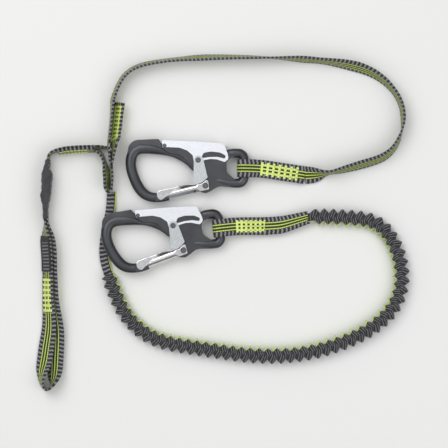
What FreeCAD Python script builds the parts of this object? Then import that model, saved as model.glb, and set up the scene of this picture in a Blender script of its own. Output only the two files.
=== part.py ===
import FreeCAD, Part
import math
import os
from FreeCAD import Matrix, Placement, Rotation, Vector

# A two-hook safety tether with a harness strop, lying flat on a surface at z = 0.
# Millimetres, +Z up. The origin is on that surface inside the outer end of the harness loop.
# Each hook is built in its own frame: the bar of its eye runs along local Y through the local
# origin, the hook reaches out along -X, and local z = 0 is the hook's middle plane.
# Outlines are lists of (x, y, corner radius).

os.makedirs("parts", exist_ok=True)

# Webbing and sewn pieces
WEBBING_WIDTH = 18.0
WEBBING_THICK = 2.2
FOLDED_WIDTH = 9.5
ELASTIC_COVER_DIA = 15.0
ELASTIC_COVER_WALL = 3.4
CORE_CLEARANCE = 0.3
STRAP_CLEARANCE = 0.35
STRAP_CONVERGE = 15.0
STRAP_DROP_ANGLE = 6.1
SLEEVE_WALL = 0.8
SLEEVE_AIR = 0.1
FOLD_PITCH = 2.6
STITCH_HEIGHT = 0.5
TACK_BAR = 2.6
TACK_SPAN = 13.5
TACK_LINE = 1.5
LABEL_THICK = 0.6
LABEL_LENGTH = 35.0

# Hook
BOW_REACH = 115.3
BOW_HALF_THICK = 5.5
EYE_BAR_DIA = 9.6
EYE_CORNER = 6.0
EYE_SIDE_GAP = 0.3
WEB_THICK = 8.0
SHOULDER_THICK = 9.2
SHEET = 1.3
SLIDE_GAP = 0.3
PIN_FIT = 0.05
GATE_RIVET_DIA = 4.8
LEVER_PIN_DIA = 3.2
LOCK_RIVET_DIA = 4.0
RIVET_HEAD = 0.7
LOCK_SLOT_ROOM = 0.4
NOSE_GAP = 1.7
PANEL_DEPTH = 0.3

# Where each hook lies: the centre of its eye bar, its turn in plan and its lean over the strap
HOOK_HEIGHT = 8.0
STRAIGHT_EYE = (202.0, 216.0)
ELASTIC_EYE = (177.0, 155.0)
ELASTIC_TURN = 7.1
ELASTIC_LEAN = 1.3
STRAIGHT_STRAP_LENGTH = 62.5
STRAIGHT_STRAP_YAW = -8.5
STRAIGHT_TACK_LENGTH = 39.0
ELASTIC_STRAP_LENGTH = 50.0
ELASTIC_TACK_LENGTH = 31.0

# Values that follow from the ones above
BOW_X = -BOW_REACH
EYE_R = EYE_BAR_DIA / 2
EYE_HALF = WEBBING_WIDTH / 2 + EYE_SIDE_GAP
EYE_TOP = EYE_HALF + EYE_CORNER
INNER_Z = WEB_THICK / 2 + SLIDE_GAP
OUTER_Z = INNER_Z + SHEET
PLATE_Z = OUTER_Z + SLIDE_GAP
PLATE_TOP = PLATE_Z + SHEET
GATE_PIVOT = Vector(-39.3, -17.9, 0)
LOCK_PIVOT = Vector(-46.7, 8.2, 0)
LEVER_PIVOT = Vector(BOW_X + 34.3, 22.9, 0)
LEVER_SPRING = Vector(BOW_X + 53.3, 13.2, 0)
LEVER_TRAVEL = 5.0


def up(height):
    return Vector(0, 0, height)


def path_edges(points, radii, closed=False):
    """Straight runs joined by tangent arcs, with one arc at every inner point."""
    count = len(points)
    corners = range(count) if closed else range(1, count - 1)
    starts = [Vector(p) for p in points]
    ends = [Vector(p) for p in points]
    arcs = {}
    for i in corners:
        corner = Vector(points[i])
        before = (corner - Vector(points[i - 1])).normalize()
        after = (Vector(points[(i + 1) % count]) - corner).normalize()
        half_turn = before.getAngle(after) / 2
        if half_turn < 1e-5 or radii[i] <= 0:
            continue
        back = radii[i] * math.tan(half_turn)
        inward = (after - before).normalize()
        centre = corner + inward * (radii[i] / math.cos(half_turn))
        ends[i] = corner - before * back
        starts[i] = corner + after * back
        arcs[i] = Part.Arc(ends[i], centre - inward * radii[i], starts[i]).toShape()
    edges = []
    for i in range(count if closed else count - 1):
        j = (i + 1) % count
        if i in arcs:
            edges.append(arcs[i])
        if (ends[j] - starts[i]).Length > 1e-6:
            edges.append(Part.LineSegment(starts[i], ends[j]).toShape())
    return edges


def free_radii(points):
    """The largest arc that each point of a free route has room for."""
    radii = [0.0]
    for before, here, after in zip(points, points[1:], points[2:]):
        first = Vector(here) - Vector(before)
        second = Vector(after) - Vector(here)
        half_turn = first.getAngle(second) / 2
        radii.append(0.45 * min(first.Length, second.Length) / math.tan(half_turn))
    radii.append(0.0)
    return radii


def flat(points, height=0.0):
    return [Vector(x, y, height) for x, y in points]


def slab(outline, low, high):
    """A flat piece from an outline of (x, y, corner radius)."""
    points = [Vector(x, y, low) for x, y, r in outline]
    wire = Part.Wire(path_edges(points, [r for x, y, r in outline], closed=True))
    return Part.Face(wire).extrude(up(high - low))


def side_line(points, radii, shift):
    """A route's points and radii moved sideways, with positive to the left of travel."""
    moved = []
    turned = []
    for i, point in enumerate(points):
        before = (points[i] - points[i - 1]).normalize() if i > 0 else None
        after = (points[i + 1] - points[i]).normalize() if i + 1 < len(points) else None
        before = before or after
        after = after or before
        left_before = Vector(-before.y, before.x, 0)
        left_after = Vector(-after.y, after.x, 0)
        middle = (left_before + left_after).normalize()
        moved.append(point + middle * (shift / middle.dot(left_before)))
        side = 1 if before.cross(after).z > 0 else -1
        turned.append(max(radii[i] - side * shift, 0.0))
    return moved, turned


def ribbon(points, radii, thick, low, high):
    """A strap along a level route: thick across the route, and from low to high."""
    level = [Vector(p.x, p.y, low) for p in points]
    left, left_radii = side_line(level, radii, thick / 2)
    right, right_radii = side_line(level, radii, -thick / 2)
    edges = path_edges(left, left_radii) + path_edges(right, right_radii)
    edges.append(Part.LineSegment(left[0], right[0]).toShape())
    edges.append(Part.LineSegment(left[-1], right[-1]).toShape())
    wire = Part.Wire(Part.__sortEdges__(edges))
    return Part.Face(wire).extrude(up(high - low))


def tube(points, radii, radius):
    """A round bar along a route of straight runs and arcs."""
    wire = Part.Wire(path_edges(points, radii))
    along = (points[1] - points[0]).normalize()
    ring = Part.Wire(Part.makeCircle(radius, points[0], along))
    return wire.makePipeShell([ring], True, False)


def rod(radius, low, high, centre):
    return Part.makeCylinder(radius, high - low, Vector(centre.x, centre.y, low))


def oval(centre, along, half_width, half_thick):
    """A rounded section across a bar that lies in the hook's middle plane."""
    across = Vector(-along.y, along.x, 0)
    points = []
    for step in range(16):
        angle = 2 * math.pi * step / 16
        sideways = math.copysign(abs(math.cos(angle)) ** 0.85, math.cos(angle)) * half_width
        upward = math.copysign(abs(math.sin(angle)) ** 0.85, math.sin(angle)) * half_thick
        points.append(centre + across * sideways + up(upward))
    curve = Part.BSplineCurve()
    curve.interpolate(points, PeriodicFlag=True)
    return Part.Wire(curve.toShape())


def bar_through(stations):
    """A forged bar lofted through stations of (x, y, half width, half thickness)."""
    centres = [Vector(x, y, 0) for x, y, w, t in stations]
    sections = []
    for i, (x, y, width, thick) in enumerate(stations):
        after = centres[min(i + 1, len(centres) - 1)]
        before = centres[max(i - 1, 0)]
        sections.append(oval(centres[i], (after - before).normalize(), width, thick))
    return Part.makeLoft(sections, True, False)


def both_faces(make):
    """A piece on the +Z face of a hook and its mirror image on the -Z face."""
    top = make()
    return top, top.mirror(Vector(0, 0, 0), Vector(0, 0, 1))


# ---------------------------------------------------------------- hook pieces

def bow_stations():
    """From the nose, round the bow, to the thin rib behind the gate opening."""
    bow = [
        (38.5, -28.4, 4.3, 4.7), (32.3, -29.5, 4.7, 5.1), (26.0, -29.9, 4.8, 5.3),
        (19.3, -29.0, 5.0, 5.4), (13.0, -25.6, 5.3, 5.5), (7.7, -19.2, 5.5, 5.5),
        (3.1, -9.5, 5.4, 5.5), (0.3, 0.0, 5.4, 5.5), (0.0, 8.0, 5.5, 5.5),
        (2.7, 15.6, 5.6, 5.5), (9.0, 19.9, 5.7, 5.5), (18.3, 20.3, 5.7, 5.5),
        (27.3, 18.8, 5.0, 5.4), (35.3, 15.7, 2.9, 5.1), (45.3, 12.8, 2.6, 4.9),
    ]
    rib = [(-62.0, 8.9, 2.7, 4.7), (-55.2, 3.6, 2.6, 4.3), (-50.0, -1.5, 2.3, 3.9)]
    scale = [(x, y, w, t * BOW_HALF_THICK / 5.5) for x, y, w, t in bow]
    return [(BOW_X + x, y, w, t) for x, y, w, t in scale] + rib


def shoulder():
    outline = [
        (BOW_X + 10, 16, 1), (BOW_X - 3.7, 14, 2), (BOW_X - 1.7, 28.4, 11),
        (BOW_X + 28.3, 29.8, 1.6), (BOW_X + 31.5, 24.5, 1), (BOW_X + 31.5, 16, 1),
    ]
    block = slab(outline, -SHOULDER_THICK / 2, SHOULDER_THICK / 2)
    rims = [e for e in block.Edges if abs(abs(e.CenterOfMass.z) - SHOULDER_THICK / 2) < 0.01]
    return block.makeFillet(0.7, rims)


def web():
    """The flat plate between bow and eye, with the tongue that the lever straddles."""
    low_bar = -EYE_TOP
    outline = [
        (BOW_X + 30.7, 15, 1), (BOW_X + 30.5, 25.8, 2.5), (BOW_X + 38.1, 25.6, 3),
        (-62, 21.8, 6), (-45, 18.8, 8), (-30, 17, 8), (-20.5, EYE_TOP + 0.9, 3),
        (-10, EYE_TOP, 1), (-9.5, EYE_TOP - 4, 1), (-17.8, 8.5, 6),
        (-17.8, -4.5, 7), (-9, low_bar + 3.8, 1), (-9, low_bar - 0.3, 1),
        (-14, low_bar - 4, 5), (-26, -18.4, 10), (-33, -22.8, 6),
        (-38.5, -25.6, 5), (-47.2, -24, 6.5), (-47.2, -12, 3), (-50.6, -4, 3),
        (-57, 6, 4), (-64, 10.5, 4), (-72, 14, 4),
    ]
    return slab(outline, -WEB_THICK / 2, WEB_THICK / 2)


def eye():
    """The round eye bar with its two corners, and the arms that blend into the web."""
    points = flat([(-7, EYE_TOP), (0, EYE_TOP), (0, -EYE_TOP), (-7, -EYE_TOP)])
    bar = tube(points, [0, EYE_CORNER, EYE_CORNER, 0], EYE_R)
    top_arm = bar_through([
        (-5.8, EYE_TOP, EYE_R * 0.99, EYE_R * 0.99), (-9.5, EYE_TOP, 4.8, 4.7),
        (-13.5, EYE_TOP - 0.4, 4.8, 4.5), (-19.5, EYE_TOP - 2.7, 4.2, 3.9),
        (-24, EYE_TOP - 4.8, 3, 3.5),
    ])
    low_arm = bar_through([
        (-5.8, -EYE_TOP, EYE_R * 0.99, EYE_R * 0.99), (-9.5, -EYE_TOP, 4.7, 4.8),
        (-14, -EYE_TOP + 0.3, 4.6, 4.8), (-22, -EYE_TOP + 1.7, 4.2, 4.5),
        (-31, -EYE_TOP + 2.3, 3, 3.7),
    ])
    return bar.fuse([top_arm, low_arm])


def lock_swing(point):
    """Where a point of the lever goes when the lever is squeezed all the way."""
    turn = Rotation(Vector(0, 0, 1), -LEVER_TRAVEL)
    return LEVER_PIVOT + turn.multVec(point - LEVER_PIVOT)


def hook_body():
    body = bar_through(bow_stations()).fuse([shoulder(), web(), eye()])
    half = WEB_THICK / 2
    cuts = []
    for low in (half, -half - 20):
        # the nose is milled flat where it enters the gate, and the eye where the lever ends
        cuts.append(Part.makeBox(22, 16, 20, Vector(BOW_X + 25, -40, low)))
        cuts.append(Part.makeBox(20, 26, 20, Vector(-34.8, 3, low)))
    cuts.append(rod(GATE_RIVET_DIA / 2 + PIN_FIT, -20, 20, GATE_PIVOT))
    cuts.append(rod(LEVER_PIN_DIA / 2 + PIN_FIT, -20, 20, LEVER_PIVOT))
    # the slot lets the lock rivet travel with the lever
    slot_r = LOCK_RIVET_DIA / 2 + LOCK_SLOT_ROOM
    ends = [LOCK_PIVOT, lock_swing(LOCK_PIVOT)]
    cuts += [rod(slot_r, -20, 20, end) for end in ends]
    cuts.append(ribbon(ends, [0, 0], 2 * slot_r, -20, 20))
    # pockets for the two springs
    cuts.append(rod(4.4, -2, 2, GATE_PIVOT))
    cuts.append(Part.makeBox(12, 2.4, 4, GATE_PIVOT + Vector(-12, -4.7, -2)))
    cuts.append(Part.makeCylinder(2.9, 15, LEVER_SPRING, Vector(0, 1, 0)))
    return body.cut(cuts).removeSplitter()


def gate():
    """A folded channel, open on its outer side, that straddles the nose and the web."""
    tip = BOW_X + 26.7
    outline = [
        (tip, -23.2, 4), (-59.2, -17, 20), (-51.5, -17.3, 4), (-43.5, -15.8, 6),
        (-36.6, -10.8, 1.6), (-35.4, -21.6, 1.5), (tip, -33.6, 4.5),
    ]
    inside = [
        (tip - 10, -26.7, 0), (tip, -24.6, 0), (-59.2, -18.4, 20), (-54, -18.7, 0),
        (-54, 0, 0), (-20, 0, 0), (-20, -50, 0), (tip - 10, -50, 0),
    ]
    channel = slab(outline, -OUTER_Z, OUTER_Z).cut(slab(inside, -INNER_Z, INNER_Z))
    return channel.cut(rod(GATE_RIVET_DIA / 2 + PIN_FIT, -20, 20, GATE_PIVOT))


def lever():
    """A folded channel over the hook's back, with a curved slot and a thin lower arm."""
    left = BOW_X + 31.7
    outline = [
        (left, 28.5, 1.2), (-44.9, 27, 40), (-20.4, 24.8, 2.5), (-16.6, 14.3, 2),
        (-15.8, 9.5, 3), (-19.5, 6.1, 2), (-27.8, 8.9, 6), (-34.1, 9.4, 10),
        (-41, 8, 2), (-43, 3.9, 2.2), (-50.6, 3.9, 4.2), (-52.2, 13, 2),
        (-58.3, 18.2, 6), (-66, 20.9, 8), (BOW_X + 37.4, 21.4, 5), (left + 0.6, 20.6, 1.5),
    ]
    inside = [
        (left - 10, 27.6, 0), (-44.9, 25.7, 40), (-20, 23.4, 0), (-5, 21.5, 0),
        (-5, -5, 0), (left - 10, -5, 0),
    ]
    slot = [
        (-43.6, 10, 0.8), (-41.5, 15.4, 3.5), (-34, 16.9, 12), (-24.5, 15.9, 8),
        (-18.4, 12.6, 1.6), (-19.6, 9.6, 1.2), (-27, 11.4, 8), (-35, 11.3, 12),
    ]
    sheet = slab(outline, -OUTER_Z, OUTER_Z).cut(slab(inside, -INNER_Z, INNER_Z))
    holes = [slab(slot, -20, 20)]
    holes.append(rod(LEVER_PIN_DIA / 2 + PIN_FIT, -20, 20, LEVER_PIVOT))
    holes.append(rod(LOCK_RIVET_DIA / 2 + PIN_FIT, -20, 20, LOCK_PIVOT))
    return sheet.cut(holes)


def lock_plate():
    outline = [
        (-51, 12.6, 4.2), (-42.4, 12.6, 4.2), (-37, -9.6, 1), (-43.5, -15.4, 14),
        (-51.6, -17, 1),
    ]
    panel = [(-49.3, 1.5, 1.2), (-44.8, 1.5, 1.2), (-41.6, -9, 1), (-49.3, -12.6, 1.5)]
    plate = slab(outline, PLATE_Z, PLATE_TOP)
    plate = plate.cut(slab(panel, PLATE_TOP - PANEL_DEPTH, PLATE_TOP + 1))
    return plate.cut(rod(LOCK_RIVET_DIA / 2 + PIN_FIT, -20, 20, LOCK_PIVOT))


def rivet(centre, diameter, head_face, head_dia):
    """A solid rivet with a low head on each side, seated on head_face."""
    shank = rod(diameter / 2, -head_face - 0.1, head_face + 0.1, centre)
    head = Part.makeCone(head_dia / 2, head_dia / 2 - 0.5, RIVET_HEAD,
                         Vector(centre.x, centre.y, head_face + PIN_FIT))
    return shank.fuse([head, head.mirror(Vector(0, 0, 0), Vector(0, 0, 1))])


def coil(radius, wire_dia, pitch, turns):
    """A round wire spring along +Z from z = 0."""
    helix = Part.makeHelix(pitch, pitch * turns, radius)
    ring = Part.Wire(Part.makeCircle(wire_dia / 2, Vector(radius, 0, 0), Vector(0, 1, pitch / 20)))
    return Part.Wire(helix).makePipeShell([ring], True, True)


def gate_spring():
    winding = coil(3.5, 0.9, 1.1, 2.5)
    winding.Placement = Placement(GATE_PIVOT + Vector(0, 0, -1.37), Rotation(Vector(0, 0, 1), -90))
    leg = Part.makeCylinder(0.45, 13, GATE_PIVOT + Vector(0.4, -3.5, -1.37), Vector(-1, -0.1, 0.03))
    return winding.fuse(leg)


def lever_spring():
    spring = coil(2.1, 0.7, 1.95, 6.2)
    return spring.copy(), Placement(LEVER_SPRING + Vector(0, 0.5, 0), Rotation(Vector(1, 0, 0), -90))


def hook_pieces():
    spring, spring_place = lever_spring()
    spring.Placement = spring_place
    front, rear = both_faces(lock_plate)
    return {
        "hook_body": hook_body(),
        "hook_gate": gate(),
        "hook_gate_rivet": rivet(GATE_PIVOT, GATE_RIVET_DIA, OUTER_Z, 6.0),
        "hook_gate_spring": gate_spring(),
        "hook_lever": lever(),
        "hook_lever_pin": rivet(LEVER_PIVOT, LEVER_PIN_DIA, OUTER_Z, 4.2),
        "hook_lever_spring": spring,
        "hook_front_lock_plate": front,
        "hook_rear_lock_plate": rear,
        "hook_lock_rivet": rivet(LOCK_PIVOT, LOCK_RIVET_DIA, PLATE_TOP, 5.6),
    }


# ---------------------------------------------------------------- sewn hook straps

def strap_place(eye_centre, turn):
    return Placement(Vector(*eye_centre, HOOK_HEIGHT), Rotation(Vector(0, 0, 1), turn))


def strap_run_place(yaw):
    """The doubled run starts where the two layers meet, and drops towards the surface."""
    start = Placement(Vector(STRAP_CONVERGE, 0, 0), Rotation(Vector(0, 0, 1), yaw))
    return start.multiply(Placement(Vector(0, 0, 0), Rotation(Vector(0, 1, 0), STRAP_DROP_ANGLE)))


def strap_fold():
    """The strap's fold round the eye bar, closing to a doubled strap."""
    inner = EYE_R + STRAP_CLEARANCE
    outer = inner + WEBBING_THICK
    half = WEBBING_WIDTH / 2
    closing = math.acos(inner / STRAP_CONVERGE)
    profile = []
    for radius, reach in ((outer, STRAP_CONVERGE + 0.4), (inner, STRAP_CONVERGE)):
        touch = Vector(radius * math.cos(closing), -half, radius * math.sin(closing))
        below = Vector(touch.x, -half, -touch.z)
        back = Part.Arc(touch, Vector(-radius, -half, 0), below).toShape()
        nose_z = WEBBING_THICK if radius == outer else 0
        top = Vector(reach, -half, nose_z)
        bottom = Vector(reach, -half, -nose_z)
        edges = [back, Part.LineSegment(below, bottom).toShape()]
        if nose_z:
            edges.append(Part.LineSegment(bottom, top).toShape())
        edges.append(Part.LineSegment(top, touch).toShape())
        profile.append(Part.Face(Part.Wire(edges)).extrude(Vector(0, WEBBING_WIDTH, 0)))
    return profile[0].cut(profile[1])


def hook_strap(length, yaw):
    run = Part.makeBox(length - STRAP_CONVERGE, WEBBING_WIDTH, 2 * WEBBING_THICK,
                       Vector(0, -WEBBING_WIDTH / 2, -WEBBING_THICK))
    run.Placement = strap_run_place(yaw)
    return strap_fold().fuse(run).removeSplitter()


def bar_tack(length, yaw):
    """Seven thick cross rows and three lengthwise rows of thread on both faces."""
    pieces = []
    for side in (WEBBING_THICK, -WEBBING_THICK - STITCH_HEIGHT):
        rows = []
        for row in range(7):
            x = 1.5 + row * (length - TACK_BAR) / 6
            rows.append(Part.makeBox(TACK_BAR, TACK_SPAN, STITCH_HEIGHT, Vector(x, -TACK_SPAN / 2, side)))
        for y in (-4.2, 0, 4.2):
            rows.append(Part.makeBox(length, TACK_LINE, STITCH_HEIGHT, Vector(1.5, y - TACK_LINE / 2, side)))
        pieces.append(rows[0].fuse(rows[1:]).removeSplitter())
    tack = Part.makeCompound(pieces)
    tack.Placement = strap_run_place(yaw)
    return tack


def elastic_hook_end():
    """Where the doubled strap opens into the gathered cover."""
    drop = (ELASTIC_STRAP_LENGTH - STRAP_CONVERGE) * math.sin(math.radians(STRAP_DROP_ANGLE))
    cover_r = ELASTIC_COVER_DIA / 2
    stations = [
        (ELASTIC_STRAP_LENGTH + 0.1, WEBBING_WIDTH / 2, WEBBING_THICK, -drop),
        (ELASTIC_STRAP_LENGTH + 22, WEBBING_WIDTH / 2.3, WEBBING_THICK * 1.2, -drop + 0.6),
        (89.6, cover_r * 0.87, cover_r * 0.6, cover_r - HOOK_HEIGHT),
    ]
    sections = []
    for x, half_width, half_thick, z in stations:
        corners = [(x, -half_width, z - half_thick), (x, half_width, z - half_thick),
                   (x, half_width, z + half_thick), (x, -half_width, z + half_thick)]
        sections.append(Part.makePolygon([Vector(*c) for c in corners + corners[:1]]))
    return Part.makeLoft(sections, True, True)


# ---------------------------------------------------------------- legs

# The plain leg lies on its edge, from the hook strap to its sewn loop at the strop.
STRAIGHT_ROUTE = [
    (264.3, 208.9), (285.5, 210.0), (320.5, 219.0), (349.0, 228.0), (362.5, 248.0),
    (365.5, 273.5), (356.0, 296.0), (332.5, 315.5), (298.0, 324.0), (254.0, 328.0),
    (203.0, 329.5), (157.0, 329.0), (116.5, 325.5), (88.5, 319.5), (73.5, 304.0),
    (68.0, 285.5),
]

# The gathered elastic leg, from its hook end to its flat end under the lower hook.
ELASTIC_ROUTE = [
    (267.0, 166.2), (305.0, 166.0), (340.5, 161.0), (359.0, 132.5), (364.0, 98.0),
    (352.0, 68.5), (320.5, 45.0), (269.5, 27.0), (216.0, 24.0), (162.0, 32.0),
    (111.0, 40.0), (82.5, 63.0), (68.5, 94.0), (64.0, 108.0),
]


def report(name, points, radii, section, solid):
    length = Part.Wire(path_edges(points, radii)).Length
    print(name, "length", round(length, 1), "volume over section x length",
          round(solid.Volume / (section * length), 4))
    print("  radii", [round(r, 1) for r in radii[1:-1]])


def straight_leg():
    points = flat(STRAIGHT_ROUTE)
    radii = free_radii(points)
    solid = ribbon(points, radii, WEBBING_THICK, 0, WEBBING_WIDTH)
    report("straight leg", points, radii, WEBBING_THICK * WEBBING_WIDTH, solid)
    return solid


def elastic_leg():
    """The gathered cover, and the round elastic core inside it."""
    cover_r = ELASTIC_COVER_DIA / 2
    bore = cover_r - ELASTIC_COVER_WALL
    core = bore - CORE_CLEARANCE
    points = flat(ELASTIC_ROUTE, cover_r)
    radii = free_radii(points)
    cover = tube(points, radii, cover_r).cut(tube(points, radii, bore))
    elastic = tube(points, radii, core)
    report("elastic leg", points, radii, math.pi * (cover_r ** 2 - bore ** 2), cover)
    return cover, elastic


def straight_leg_link_loop():
    points = flat([
        (68, 285.2), (67.3, 262), (66.9, 240.6), (70.3, 240.6), (70.9, 252),
        (73.2, 267), (75.5, 281.5),
    ])
    return ribbon(points, [0, 60, 1.65, 1.65, 40, 60, 0], WEBBING_THICK, 0, WEBBING_WIDTH)


def elastic_leg_link_end():
    """The cover folded in half lengthwise, lying flat under the lower hook's bow."""
    points = flat([
        (63.6, 109.2), (59.5, 120.5), (60.5, 140), (65.5, 161), (67.5, 178.5), (66.7, 191.6),
    ])
    return ribbon(points, [0, 18, 40, 60, 60, 0], FOLDED_WIDTH, 0, 2 * WEBBING_THICK)


def link_tack():
    """Thread rows on the outer face of the straight leg's folded tail."""
    spots = [(71.2, 253.2), (71.9, 257.7), (72.6, 262.2), (73.3, 266.7), (74.0, 271.2), (74.7, 275.7)]
    along = Vector(2.3, 15, 0).normalize()
    outward = Vector(along.y, -along.x, 0)
    rows = []
    for x, y in spots:
        corner = Vector(x, y, (WEBBING_WIDTH - TACK_SPAN) / 2) + outward * (WEBBING_THICK / 2 + 0.15)
        box = Part.makeBox(STITCH_HEIGHT, TACK_BAR, TACK_SPAN)
        angle = math.degrees(math.atan2(outward.y, outward.x))
        box.Placement = Placement(corner, Rotation(Vector(0, 0, 1), angle))
        rows.append(box)
    return Part.makeCompound(rows)


# ---------------------------------------------------------------- strop

STROP_SPLIT_X = 49.0
FOLD_LEFT_X = -2.3
FOLD_LOW_Y = 187.0
FOLD_HIGH_Y = 210.0
STROP_BASE = SLEEVE_WALL + SLEEVE_AIR


def link_loop():
    half = WEBBING_THICK / 2
    points = flat([
        (STROP_SPLIT_X, 236 + half), (56, 237.4), (64, 236.3), (66.3, 227.5), (66.3, 218.5),
        (67.5, 206), (66.8, 193.7), (62.6, 193.7), (62.2, 206), (61, 217), (58.5, 226.5),
        (54.5, 233), (STROP_SPLIT_X, 236 - half),
    ])
    radii = [0, 12, 4.5, 15, 40, 40, 2.0, 2.0, 30, 40, 12, 6, 0]
    return ribbon(points, radii, WEBBING_THICK, 0, WEBBING_WIDTH)


def strop_webbing():
    """Doubled from the link loop to the elbow, then single down into the sleeve."""
    end = STROP_SPLIT_X - 0.7
    doubled = ribbon(flat([(9.5, 232.6), (30, 235.1), (end, 236)]), [0, 120, 0],
                     2 * WEBBING_THICK, 0, WEBBING_WIDTH)
    entry = FOLD_LEFT_X + 2 * FOLD_PITCH
    single = ribbon(flat([(entry, 224.1), (entry + 0.6, 229.5), (11, 232.8)]), [0, 4, 0],
                    WEBBING_THICK, STROP_BASE, WEBBING_WIDTH)
    return doubled.fuse(single).removeSplitter()


def strop_stitching():
    """A line of lock stitches along the strop's lower face."""
    stitches = []
    along = Vector(20.5, 2.5, 0).normalize()
    angle = math.degrees(math.atan2(along.y, along.x))
    for count in range(5):
        for height in (4.5, WEBBING_WIDTH - 5):
            box = Part.makeBox(2.6, STITCH_HEIGHT, 0.9)
            start = Vector(12.0, 232.9, height) + along * (3.6 * count)
            below = Vector(along.y, -along.x, 0) * (WEBBING_THICK + STITCH_HEIGHT + 0.05)
            box.Placement = Placement(start + below, Rotation(Vector(0, 0, 1), angle))
            stitches.append(box)
    return Part.makeCompound(stitches)


def tear_fold():
    """The overload fold: the strap laid back on itself twice, inside the sleeve."""
    left = FOLD_LEFT_X
    middle = left + FOLD_PITCH
    right = middle + FOLD_PITCH
    bend = FOLD_PITCH / 2 - 0.01
    points = flat([
        (right, 223.9), (right, FOLD_LOW_Y), (middle, FOLD_LOW_Y), (middle, FOLD_HIGH_Y),
        (left, FOLD_HIGH_Y), (left, 192), (-0.9, 176), (-0.9, 163.6),
    ])
    return ribbon(points, [0, bend, bend, bend, bend, 40, 30, 0], WEBBING_THICK,
                  STROP_BASE, STROP_BASE + WEBBING_WIDTH)


def tear_stitching():
    """Rows of thread through the three layers, which rip one after the other."""
    rows = []
    width = 2 * FOLD_PITCH + WEBBING_THICK + 0.3
    for row in range(5):
        y = FOLD_LOW_Y + 3 + row * (FOLD_HIGH_Y - FOLD_LOW_Y - 6) / 4
        for height in (4, 9, 14):
            rows.append(Part.makeBox(width, 0.8, 0.8, Vector(
                FOLD_LEFT_X - WEBBING_THICK / 2 - 0.15, y, STROP_BASE + height)))
    return Part.makeCompound(rows)


def sleeve():
    left = FOLD_LEFT_X - WEBBING_THICK / 2 - SLEEVE_AIR - SLEEVE_WALL - 0.3
    right = FOLD_LEFT_X + 2 * FOLD_PITCH + WEBBING_THICK / 2 + SLEEVE_AIR + SLEEVE_WALL + 0.4
    outline = [
        (left + 3.2, 223), (left + 0.3, 214), (left, 197), (left - 0.8, 187), (left - 0.1, 178),
        (-4.1, 172), (-4.1, 164.4), (2.3, 164.4), (2.3, 172), (4.2, 182), (right - 0.1, 190),
        (right, 204), (right + 0.9, 213), (right, 218), (right, 223),
    ]
    radii = [0.8, 10, 20, 4, 6, 8, 0.8, 0.8, 10, 20, 15, 15, 3, 5, 0.8]
    shell = slab([(x, y, r) for (x, y), r in zip(outline, radii)], 0, WEBBING_WIDTH + 2 * STROP_BASE)
    centre_x = (left + right) / 2
    inner = []
    for (x, y), r in zip(outline, radii):
        side = 1 if x < centre_x else -1
        end = 0
        if y > 222:
            end = 5
        if y < 165:
            end = -5
        inner.append((x + side * SLEEVE_WALL, y + end, r))
    room = slab(inner, SLEEVE_WALL, WEBBING_WIDTH + 2 * STROP_BASE - SLEEVE_WALL)
    return shell.cut(room)


# The left strand runs straight past the label and past the bar tack.
LOOP_NECK = (-2.3, 163.3)
LABEL_TOP = (-1.8, 152.0)
TACK_TOP = (1.1, 112.0)
TACK_LOW = (1.1, 66.0)


def harness_loop():
    """The long narrow sewn loop that takes the harness: one closed strap on its edge."""
    points = flat([
        LOOP_NECK, LABEL_TOP, TACK_TOP, TACK_LOW, (-2, 40), (-4.2, 14.5), (-3.6, -2),
        (0.5, -10.8), (7, -9), (12.6, 0.5), (15.5, 15), (14.5, 52), (11, 96), (7.4, 143),
        (0.7, 163.1),
    ])
    radii = [0, 40, 60, 80, 120, 50, 9, 4.6, 6.4, 12, 40, 200, 200, 20, 0]
    return ribbon(points, radii, WEBBING_THICK, 0, WEBBING_WIDTH)


def label():
    """A woven label folded over the left strand, below the sleeve."""
    run = Vector(*TACK_TOP) - Vector(*LABEL_TOP)
    along = run.normalize()
    first = Vector(*LABEL_TOP) + along * 3
    last = first + along * LABEL_LENGTH
    inside = WEBBING_THICK + 0.1
    wrap = ribbon([first, last], [0, 0], inside + 2 * LABEL_THICK, 0, WEBBING_WIDTH + LABEL_THICK)
    room = ribbon([first - along, last + along], [0, 0], inside, -1, WEBBING_WIDTH + 0.05)
    return wrap.cut(room)


def loop_tack():
    """The same thread pattern as on the hook straps, on the loop's outer face."""
    rows = []
    length = 38.0
    x = TACK_LOW[0] - WEBBING_THICK / 2 - STITCH_HEIGHT - 0.05
    low = TACK_LOW[1] + 4
    for row in range(7):
        y = low + row * (length - TACK_BAR) / 6
        rows.append(Part.makeBox(STITCH_HEIGHT, TACK_BAR, TACK_SPAN, Vector(
            x, y, (WEBBING_WIDTH - TACK_SPAN) / 2)))
    for offset in (-4.2, 0, 4.2):
        z = WEBBING_WIDTH / 2 + offset - TACK_LINE / 2
        rows.append(Part.makeBox(STITCH_HEIGHT, length, TACK_LINE, Vector(x, low, z)))
    return rows[0].fuse(rows[1:]).removeSplitter()


# ---------------------------------------------------------------- assembly

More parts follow.
